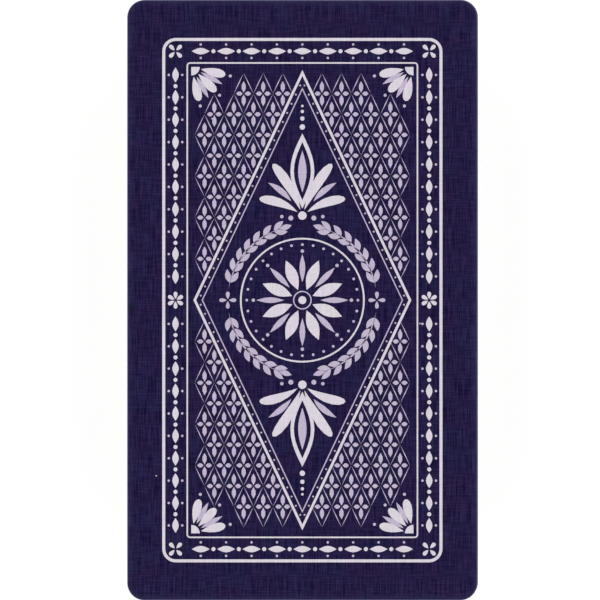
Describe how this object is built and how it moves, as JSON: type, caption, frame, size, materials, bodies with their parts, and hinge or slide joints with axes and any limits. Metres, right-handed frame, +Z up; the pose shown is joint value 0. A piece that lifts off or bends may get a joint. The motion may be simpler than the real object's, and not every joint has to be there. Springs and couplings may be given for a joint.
{
  "type": "tarot card deck",
  "caption": "Squared stack of loose tarot cards with rounded corners and dark blue backs, lying face down; the cards fan out, and packets cut, draw and turn over.",
  "frame": {"origin": "on the table, under the middle of the squared stack", "axes": "+X across the cards, +Y along the cards, +Z up towards the backs"},
  "size_m": [0.0702, 0.1202, 0.0273],
  "materials": {
    "card_stock": "satin"
  },
  "bodies": {
    "the_moon": {"the_moon": "card_stock"},
    "the_star": {"the_star": "card_stock"},
    "the_tower": {"the_tower": "card_stock"},
    "the_devil": {"the_devil": "card_stock"},
    "temperance": {"temperance": "card_stock"},
    "death": {"death": "card_stock"},
    "the_hanged_man": {"the_hanged_man": "card_stock"},
    "justice": {"justice": "card_stock"},
    "wheel_of_fortune": {"wheel_of_fortune": "card_stock"},
    "the_hermit": {"the_hermit": "card_stock"},
    "strength": {"strength": "card_stock"},
    "the_chariot": {"the_chariot": "card_stock"},
    "the_lovers": {"the_lovers": "card_stock"},
    "the_hierophant": {"the_hierophant": "card_stock"},
    "the_emperor": {"the_emperor": "card_stock"},
    "the_empress": {"the_empress": "card_stock"},
    "the_high_priestess": {"the_high_priestess": "card_stock"},
    "the_magician": {"the_magician": "card_stock"},
    "the_fool": {"the_fool": "card_stock"},
    "king_of_pentacles": {"king_of_pentacles": "card_stock"},
    "queen_of_pentacles": {"queen_of_pentacles": "card_stock"},
    "knight_of_pentacles": {"knight_of_pentacles": "card_stock"},
    "page_of_pentacles": {"page_of_pentacles": "card_stock"},
    "nine_ten_of_pentacles": {"nine_ten_of_pentacles": "card_stock"},
    "seven_eight_of_pentacles": {"seven_eight_of_pentacles": "card_stock"},
    "five_six_of_pentacles": {"five_six_of_pentacles": "card_stock"},
    "three_four_of_pentacles": {"three_four_of_pentacles": "card_stock"},
    "ace_two_of_pentacles": {"ace_two_of_pentacles": "card_stock"},
    "king_of_swords": {"king_of_swords": "card_stock"},
    "queen_of_swords": {"queen_of_swords": "card_stock"},
    "knight_of_swords": {"knight_of_swords": "card_stock"},
    "page_of_swords": {"page_of_swords": "card_stock"},
    "nine_ten_of_swords": {"nine_ten_of_swords": "card_stock"},
    "seven_eight_of_swords": {"seven_eight_of_swords": "card_stock"},
    "five_six_of_swords": {"five_six_of_swords": "card_stock"},
    "three_four_of_swords": {"three_four_of_swords": "card_stock"},
    "ace_two_of_swords": {"ace_two_of_swords": "card_stock"},
    "king_of_cups": {"king_of_cups": "card_stock"},
    "queen_of_cups": {"queen_of_cups": "card_stock"},
    "knight_of_cups": {"knight_of_cups": "card_stock"},
    "page_of_cups": {"page_of_cups": "card_stock"},
    "nine_ten_of_cups": {"nine_ten_of_cups": "card_stock"},
    "seven_eight_of_cups": {"seven_eight_of_cups": "card_stock"},
    "five_six_of_cups": {"five_six_of_cups": "card_stock"},
    "three_four_of_cups": {"three_four_of_cups": "card_stock"},
    "ace_two_of_cups": {"ace_two_of_cups": "card_stock"},
    "king_of_wands": {"king_of_wands": "card_stock"},
    "queen_of_wands": {"queen_of_wands": "card_stock"},
    "knight_of_wands": {"knight_of_wands": "card_stock"},
    "page_of_wands": {"page_of_wands": "card_stock"},
    "nine_ten_of_wands": {"nine_ten_of_wands": "card_stock"},
    "seven_eight_of_wands": {"seven_eight_of_wands": "card_stock"},
    "five_six_of_wands": {"five_six_of_wands": "card_stock"},
    "three_four_of_wands": {"three_four_of_wands": "card_stock"},
    "ace_two_of_wands": {"ace_two_of_wands": "card_stock"},
    "the_world": {"the_world": "card_stock"},
    "judgement": {"judgement": "card_stock"},
    "the_sun": {"the_sun": "card_stock"}
  },
  "joints": [
    {"name": "fan_the_star", "type": "hinge", "parent": "the_moon", "child": "the_star", "pos_m": [0.015, -0.047, 0], "axis": [0, 0, 1], "range_deg": [0, 2]},
    {"name": "fan_the_tower", "type": "hinge", "parent": "the_moon", "child": "the_tower", "pos_m": [0.015, -0.047, 0], "axis": [0, 0, 1], "range_deg": [0, 4]},
    {"name": "fan_the_devil", "type": "hinge", "parent": "the_moon", "child": "the_devil", "pos_m": [0.015, -0.047, 0], "axis": [0, 0, 1], "range_deg": [0, 6]},
    {"name": "fan_temperance", "type": "hinge", "parent": "the_moon", "child": "temperance", "pos_m": [0.015, -0.047, 0], "axis": [0, 0, 1], "range_deg": [0, 8]},
    {"name": "fan_death", "type": "hinge", "parent": "the_moon", "child": "death", "pos_m": [0.015, -0.047, 0], "axis": [0, 0, 1], "range_deg": [0, 10]},
    {"name": "fan_the_hanged_man", "type": "hinge", "parent": "the_moon", "child": "the_hanged_man", "pos_m": [0.015, -0.047, 0], "axis": [0, 0, 1], "range_deg": [0, 12]},
    {"name": "fan_justice", "type": "hinge", "parent": "the_moon", "child": "justice", "pos_m": [0.015, -0.047, 0], "axis": [0, 0, 1], "range_deg": [0, 14]},
    {"name": "fan_wheel_of_fortune", "type": "hinge", "parent": "the_moon", "child": "wheel_of_fortune", "pos_m": [0.015, -0.047, 0], "axis": [0, 0, 1], "range_deg": [0, 16]},
    {"name": "fan_the_hermit", "type": "hinge", "parent": "the_moon", "child": "the_hermit", "pos_m": [0.015, -0.047, 0], "axis": [0, 0, 1], "range_deg": [0, 18]},
    {"name": "fan_strength", "type": "hinge", "parent": "the_moon", "child": "strength", "pos_m": [0.015, -0.047, 0], "axis": [0, 0, 1], "range_deg": [0, 20]},
    {"name": "fan_the_chariot", "type": "hinge", "parent": "the_moon", "child": "the_chariot", "pos_m": [0.015, -0.047, 0], "axis": [0, 0, 1], "range_deg": [0, 22]},
    {"name": "fan_the_lovers", "type": "hinge", "parent": "the_moon", "child": "the_lovers", "pos_m": [0.015, -0.047, 0], "axis": [0, 0, 1], "range_deg": [0, 24]},
    {"name": "fan_the_hierophant", "type": "hinge", "parent": "the_moon", "child": "the_hierophant", "pos_m": [0.015, -0.047, 0], "axis": [0, 0, 1], "range_deg": [0, 26]},
    {"name": "fan_the_emperor", "type": "hinge", "parent": "the_moon", "child": "the_emperor", "pos_m": [0.015, -0.047, 0], "axis": [0, 0, 1], "range_deg": [0, 28]},
    {"name": "fan_the_empress", "type": "hinge", "parent": "the_moon", "child": "the_empress", "pos_m": [0.015, -0.047, 0], "axis": [0, 0, 1], "range_deg": [0, 30]},
    {"name": "fan_the_high_priestess", "type": "hinge", "parent": "the_moon", "child": "the_high_priestess", "pos_m": [0.015, -0.047, 0], "axis": [0, 0, 1], "range_deg": [0, 32]},
    {"name": "fan_the_magician", "type": "hinge", "parent": "the_moon", "child": "the_magician", "pos_m": [0.015, -0.047, 0], "axis": [0, 0, 1], "range_deg": [0, 34]},
    {"name": "fan_the_fool", "type": "hinge", "parent": "the_moon", "child": "the_fool", "pos_m": [0.015, -0.047, 0], "axis": [0, 0, 1], "range_deg": [0, 36]},
    {"name": "fan_king_of_pentacles", "type": "hinge", "parent": "the_moon", "child": "king_of_pentacles", "pos_m": [0.015, -0.047, 0], "axis": [0, 0, 1], "range_deg": [0, 38]},
    {"name": "fan_queen_of_pentacles", "type": "hinge", "parent": "the_moon", "child": "queen_of_pentacles", "pos_m": [0.015, -0.047, 0], "axis": [0, 0, 1], "range_deg": [0, 40]},
    {"name": "fan_knight_of_pentacles", "type": "hinge", "parent": "the_moon", "child": "knight_of_pentacles", "pos_m": [0.015, -0.047, 0], "axis": [0, 0, 1], "range_deg": [0, 42]},
    {"name": "fan_page_of_pentacles", "type": "hinge", "parent": "the_moon", "child": "page_of_pentacles", "pos_m": [0.015, -0.047, 0], "axis": [0, 0, 1], "range_deg": [0, 44]},
    {"name": "fan_nine_ten_of_pentacles", "type": "hinge", "parent": "the_moon", "child": "nine_ten_of_pentacles", "pos_m": [0.015, -0.047, 0], "axis": [0, 0, 1], "range_deg": [0, 46]},
    {"name": "fan_seven_eight_of_pentacles", "type": "hinge", "parent": "the_moon", "child": "seven_eight_of_pentacles", "pos_m": [0.015, -0.047, 0], "axis": [0, 0, 1], "range_deg": [0, 48]},
    {"name": "fan_five_six_of_pentacles", "type": "hinge", "parent": "the_moon", "child": "five_six_of_pentacles", "pos_m": [0.015, -0.047, 0], "axis": [0, 0, 1], "range_deg": [0, 50]},
    {"name": "fan_three_four_of_pentacles", "type": "hinge", "parent": "the_moon", "child": "three_four_of_pentacles", "pos_m": [0.015, -0.047, 0], "axis": [0, 0, 1], "range_deg": [0, 52]},
    {"name": "fan_ace_two_of_pentacles", "type": "hinge", "parent": "the_moon", "child": "ace_two_of_pentacles", "pos_m": [0.015, -0.047, 0], "axis": [0, 0, 1], "range_deg": [0, 54]},
    {"name": "fan_king_of_swords", "type": "hinge", "parent": "the_moon", "child": "king_of_swords", "pos_m": [0.015, -0.047, 0], "axis": [0, 0, 1], "range_deg": [0, 56]},
    {"name": "fan_queen_of_swords", "type": "hinge", "parent": "the_moon", "child": "queen_of_swords", "pos_m": [0.015, -0.047, 0], "axis": [0, 0, 1], "range_deg": [0, 58]},
    {"name": "fan_knight_of_swords", "type": "hinge", "parent": "the_moon", "child": "knight_of_swords", "pos_m": [0.015, -0.047, 0], "axis": [0, 0, 1], "range_deg": [0, 60]},
    {"name": "fan_page_of_swords", "type": "hinge", "parent": "the_moon", "child": "page_of_swords", "pos_m": [0.015, -0.047, 0], "axis": [0, 0, 1], "range_deg": [0, 62]},
    {"name": "fan_spread", "type": "hinge", "parent": "the_moon", "child": "nine_ten_of_swords", "pos_m": [0.015, -0.047, 0], "axis": [0, 0, 1], "range_deg": [0, 64]},
    {"name": "cut", "type": "slide", "parent": "nine_ten_of_swords", "child": "seven_eight_of_swords", "axis": [-1, 0, 0], "range_m": [0, 0.075]},
    {"name": "fan_five_six_of_swords", "type": "hinge", "parent": "seven_eight_of_swords", "child": "five_six_of_swords", "pos_m": [0.015, -0.047, 0], "axis": [0, 0, 1], "range_deg": [0, 2]},
    {"name": "fan_three_four_of_swords", "type": "hinge", "parent": "seven_eight_of_swords", "child": "three_four_of_swords", "pos_m": [0.015, -0.047, 0], "axis": [0, 0, 1], "range_deg": [0, 4]},
    {"name": "fan_ace_two_of_swords", "type": "hinge", "parent": "seven_eight_of_swords", "child": "ace_two_of_swords", "pos_m": [0.015, -0.047, 0], "axis": [0, 0, 1], "range_deg": [0, 6]},
    {"name": "fan_king_of_cups", "type": "hinge", "parent": "seven_eight_of_swords", "child": "king_of_cups", "pos_m": [0.015, -0.047, 0], "axis": [0, 0, 1], "range_deg": [0, 8]},
    {"name": "fan_queen_of_cups", "type": "hinge", "parent": "seven_eight_of_swords", "child": "queen_of_cups", "pos_m": [0.015, -0.047, 0], "axis": [0, 0, 1], "range_deg": [0, 10]},
    {"name": "draw", "type": "slide", "parent": "queen_of_cups", "child": "knight_of_cups", "axis": [1, 0, 0], "range_m": [0, 0.075]},
    {"name": "fan_page_of_cups", "type": "hinge", "parent": "seven_eight_of_swords", "child": "page_of_cups", "pos_m": [0.015, -0.047, 0], "axis": [0, 0, 1], "range_deg": [0, 14]},
    {"name": "fan_nine_ten_of_cups", "type": "hinge", "parent": "seven_eight_of_swords", "child": "nine_ten_of_cups", "pos_m": [0.015, -0.047, 0], "axis": [0, 0, 1], "range_deg": [0, 16]},
    {"name": "fan_seven_eight_of_cups", "type": "hinge", "parent": "seven_eight_of_swords", "child": "seven_eight_of_cups", "pos_m": [0.015, -0.047, 0], "axis": [0, 0, 1], "range_deg": [0, 18]},
    {"name": "fan_five_six_of_cups", "type": "hinge", "parent": "seven_eight_of_swords", "child": "five_six_of_cups", "pos_m": [0.015, -0.047, 0], "axis": [0, 0, 1], "range_deg": [0, 20]},
    {"name": "fan_three_four_of_cups", "type": "hinge", "parent": "seven_eight_of_swords", "child": "three_four_of_cups", "pos_m": [0.015, -0.047, 0], "axis": [0, 0, 1], "range_deg": [0, 22]},
    {"name": "fan_ace_two_of_cups", "type": "hinge", "parent": "seven_eight_of_swords", "child": "ace_two_of_cups", "pos_m": [0.015, -0.047, 0], "axis": [0, 0, 1], "range_deg": [0, 24]},
    {"name": "fan_king_of_wands", "type": "hinge", "parent": "seven_eight_of_swords", "child": "king_of_wands", "pos_m": [0.015, -0.047, 0], "axis": [0, 0, 1], "range_deg": [0, 26]},
    {"name": "fan_queen_of_wands", "type": "hinge", "parent": "seven_eight_of_swords", "child": "queen_of_wands", "pos_m": [0.015, -0.047, 0], "axis": [0, 0, 1], "range_deg": [0, 28]},
    {"name": "fan_knight_of_wands", "type": "hinge", "parent": "seven_eight_of_swords", "child": "knight_of_wands", "pos_m": [0.015, -0.047, 0], "axis": [0, 0, 1], "range_deg": [0, 30]},
    {"name": "fan_page_of_wands", "type": "hinge", "parent": "seven_eight_of_swords", "child": "page_of_wands", "pos_m": [0.015, -0.047, 0], "axis": [0, 0, 1], "range_deg": [0, 32]},
    {"name": "fan_nine_ten_of_wands", "type": "hinge", "parent": "seven_eight_of_swords", "child": "nine_ten_of_wands", "pos_m": [0.015, -0.047, 0], "axis": [0, 0, 1], "range_deg": [0, 34]},
    {"name": "fan_seven_eight_of_wands", "type": "hinge", "parent": "seven_eight_of_swords", "child": "seven_eight_of_wands", "pos_m": [0.015, -0.047, 0], "axis": [0, 0, 1], "range_deg": [0, 36]},
    {"name": "fan_five_six_of_wands", "type": "hinge", "parent": "seven_eight_of_swords", "child": "five_six_of_wands", "pos_m": [0.015, -0.047, 0], "axis": [0, 0, 1], "range_deg": [0, 38]},
    {"name": "fan_three_four_of_wands", "type": "hinge", "parent": "seven_eight_of_swords", "child": "three_four_of_wands", "pos_m": [0.015, -0.047, 0], "axis": [0, 0, 1], "range_deg": [0, 40]},
    {"name": "fan_ace_two_of_wands", "type": "hinge", "parent": "seven_eight_of_swords", "child": "ace_two_of_wands", "pos_m": [0.015, -0.047, 0], "axis": [0, 0, 1], "range_deg": [0, 42]},
    {"name": "fan_the_world", "type": "hinge", "parent": "seven_eight_of_swords", "child": "the_world", "pos_m": [0.015, -0.047, 0], "axis": [0, 0, 1], "range_deg": [0, 44]},
    {"name": "fan_judgement", "type": "hinge", "parent": "seven_eight_of_swords", "child": "judgement", "pos_m": [0.015, -0.047, 0], "axis": [0, 0, 1], "range_deg": [0, 46]},
    {"name": "turn_over", "type": "hinge", "parent": "judgement", "child": "the_sun", "pos_m": [-0.04, 0, 0.01364], "axis": [0, -1, 0], "range_deg": [0, 180]}
  ],
  "couplings": [
    {"joint": "fan_the_star", "follows": "fan_spread", "ratio": 0.03125},
    {"joint": "fan_the_tower", "follows": "fan_spread", "ratio": 0.0625},
    {"joint": "fan_the_devil", "follows": "fan_spread", "ratio": 0.09375},
    {"joint": "fan_temperance", "follows": "fan_spread", "ratio": 0.125},
    {"joint": "fan_death", "follows": "fan_spread", "ratio": 0.15625},
    {"joint": "fan_the_hanged_man", "follows": "fan_spread", "ratio": 0.1875},
    {"joint": "fan_justice", "follows": "fan_spread", "ratio": 0.21875},
    {"joint": "fan_wheel_of_fortune", "follows": "fan_spread", "ratio": 0.25},
    {"joint": "fan_the_hermit", "follows": "fan_spread", "ratio": 0.28125},
    {"joint": "fan_strength", "follows": "fan_spread", "ratio": 0.3125},
    {"joint": "fan_the_chariot", "follows": "fan_spread", "ratio": 0.34375},
    {"joint": "fan_the_lovers", "follows": "fan_spread", "ratio": 0.375},
    {"joint": "fan_the_hierophant", "follows": "fan_spread", "ratio": 0.40625},
    {"joint": "fan_the_emperor", "follows": "fan_spread", "ratio": 0.4375},
    {"joint": "fan_the_empress", "follows": "fan_spread", "ratio": 0.46875},
    {"joint": "fan_the_high_priestess", "follows": "fan_spread", "ratio": 0.5},
    {"joint": "fan_the_magician", "follows": "fan_spread", "ratio": 0.53125},
    {"joint": "fan_the_fool", "follows": "fan_spread", "ratio": 0.5625},
    {"joint": "fan_king_of_pentacles", "follows": "fan_spread", "ratio": 0.59375},
    {"joint": "fan_queen_of_pentacles", "follows": "fan_spread", "ratio": 0.625},
    {"joint": "fan_knight_of_pentacles", "follows": "fan_spread", "ratio": 0.65625},
    {"joint": "fan_page_of_pentacles", "follows": "fan_spread", "ratio": 0.6875},
    {"joint": "fan_nine_ten_of_pentacles", "follows": "fan_spread", "ratio": 0.71875},
    {"joint": "fan_seven_eight_of_pentacles", "follows": "fan_spread", "ratio": 0.75},
    {"joint": "fan_five_six_of_pentacles", "follows": "fan_spread", "ratio": 0.78125},
    {"joint": "fan_three_four_of_pentacles", "follows": "fan_spread", "ratio": 0.8125},
    {"joint": "fan_ace_two_of_pentacles", "follows": "fan_spread", "ratio": 0.84375},
    {"joint": "fan_king_of_swords", "follows": "fan_spread", "ratio": 0.875},
    {"joint": "fan_queen_of_swords", "follows": "fan_spread", "ratio": 0.90625},
    {"joint": "fan_knight_of_swords", "follows": "fan_spread", "ratio": 0.9375},
    {"joint": "fan_page_of_swords", "follows": "fan_spread", "ratio": 0.96875},
    {"joint": "fan_five_six_of_swords", "follows": "fan_spread", "ratio": 0.03125},
    {"joint": "fan_three_four_of_swords", "follows": "fan_spread", "ratio": 0.0625},
    {"joint": "fan_ace_two_of_swords", "follows": "fan_spread", "ratio": 0.09375},
    {"joint": "fan_king_of_cups", "follows": "fan_spread", "ratio": 0.125},
    {"joint": "fan_queen_of_cups", "follows": "fan_spread", "ratio": 0.15625},
    {"joint": "fan_page_of_cups", "follows": "fan_spread", "ratio": 0.21875},
    {"joint": "fan_nine_ten_of_cups", "follows": "fan_spread", "ratio": 0.25},
    {"joint": "fan_seven_eight_of_cups", "follows": "fan_spread", "ratio": 0.28125},
    {"joint": "fan_five_six_of_cups", "follows": "fan_spread", "ratio": 0.3125},
    {"joint": "fan_three_four_of_cups", "follows": "fan_spread", "ratio": 0.34375},
    {"joint": "fan_ace_two_of_cups", "follows": "fan_spread", "ratio": 0.375},
    {"joint": "fan_king_of_wands", "follows": "fan_spread", "ratio": 0.40625},
    {"joint": "fan_queen_of_wands", "follows": "fan_spread", "ratio": 0.4375},
    {"joint": "fan_knight_of_wands", "follows": "fan_spread", "ratio": 0.46875},
    {"joint": "fan_page_of_wands", "follows": "fan_spread", "ratio": 0.5},
    {"joint": "fan_nine_ten_of_wands", "follows": "fan_spread", "ratio": 0.53125},
    {"joint": "fan_seven_eight_of_wands", "follows": "fan_spread", "ratio": 0.5625},
    {"joint": "fan_five_six_of_wands", "follows": "fan_spread", "ratio": 0.59375},
    {"joint": "fan_three_four_of_wands", "follows": "fan_spread", "ratio": 0.625},
    {"joint": "fan_ace_two_of_wands", "follows": "fan_spread", "ratio": 0.65625},
    {"joint": "fan_the_world", "follows": "fan_spread", "ratio": 0.6875},
    {"joint": "fan_judgement", "follows": "fan_spread", "ratio": 0.71875}
  ]
}
